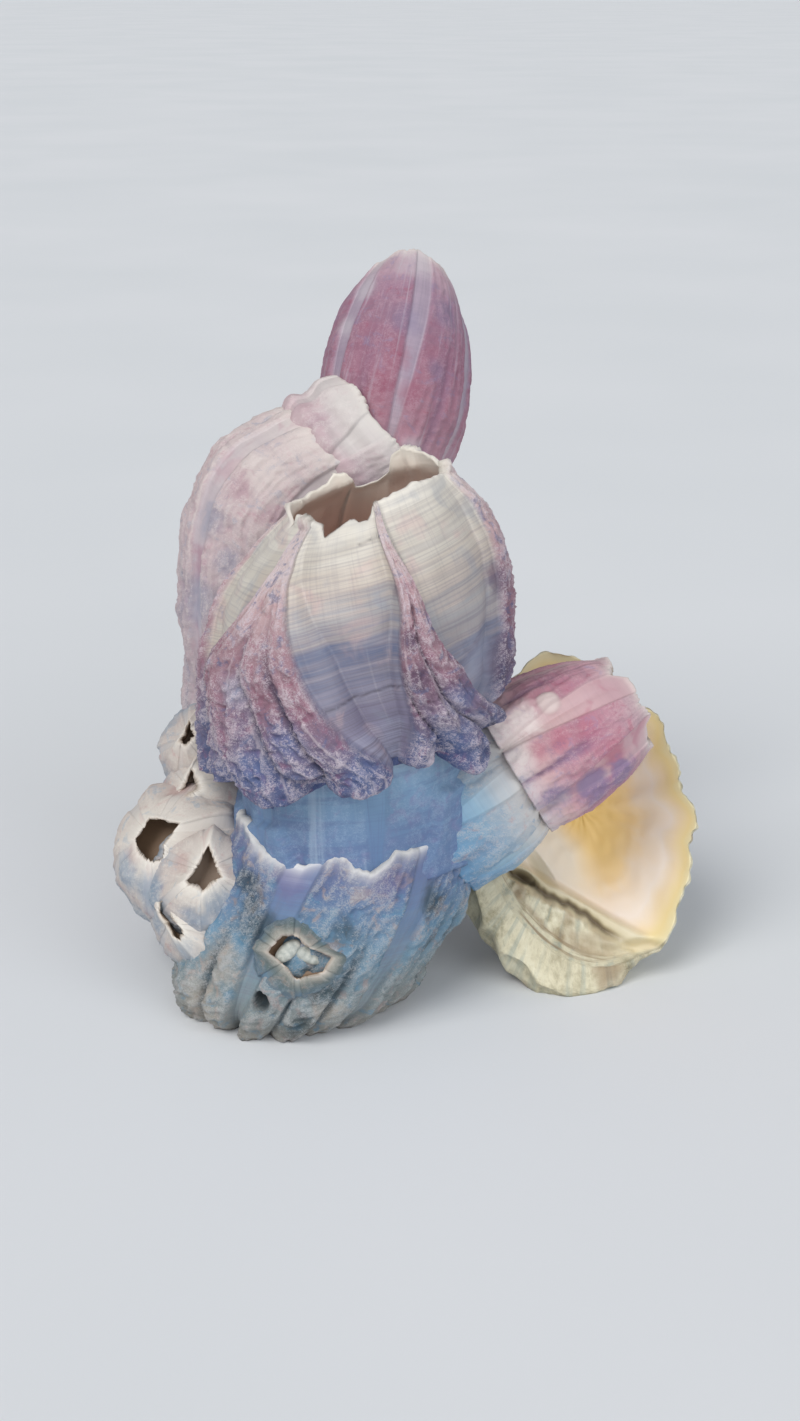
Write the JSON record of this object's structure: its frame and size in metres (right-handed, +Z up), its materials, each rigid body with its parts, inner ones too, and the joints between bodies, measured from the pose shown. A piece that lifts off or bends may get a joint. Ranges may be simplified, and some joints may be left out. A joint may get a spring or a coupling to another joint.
{
  "type": "barnacle cluster",
  "caption": "Cluster of giant purple barnacles grown on one another with small white barnacles and a jewel-box shell valve; rests on a flat cut foot.",
  "frame": {"origin": "on the resting plane, on the base barnacle's cut foot, under the big front barnacle", "axes": "+Z up, -Y towards the viewer of the picture, +X to the viewer's right"},
  "size_m": [0.0869, 0.0823, 0.1044],
  "materials": {
    "purple_shell": "rough",
    "lavender_shell": "matte",
    "blush_shell": "matte",
    "pink_shell": "matte",
    "white_shell": "matte",
    "cream_shell": "satin",
    "grey_plate": "satin"
  },
  "bodies": {
    "root": {"base_barnacle": "lavender_shell", "stalk_barnacle": "lavender_shell", "front_barnacle": "purple_shell", "rear_barnacle": "blush_shell", "collar_barnacle": "blush_shell", "top_barnacle": "pink_shell", "side_root_barnacle": "white_shell", "side_barnacle": "pink_shell", "small_barnacle_left": "white_shell", "small_barnacle_middle": "white_shell", "small_barnacle_low": "white_shell", "small_barnacle_high": "white_shell", "small_barnacle_rear": "white_shell", "small_barnacle_front": "white_shell", "operculum_front_left": "grey_plate", "operculum_front_right": "grey_plate", "operculum_low": "grey_plate", "jewel_box_valve": "cream_shell"}
  },
  "joints": []
}
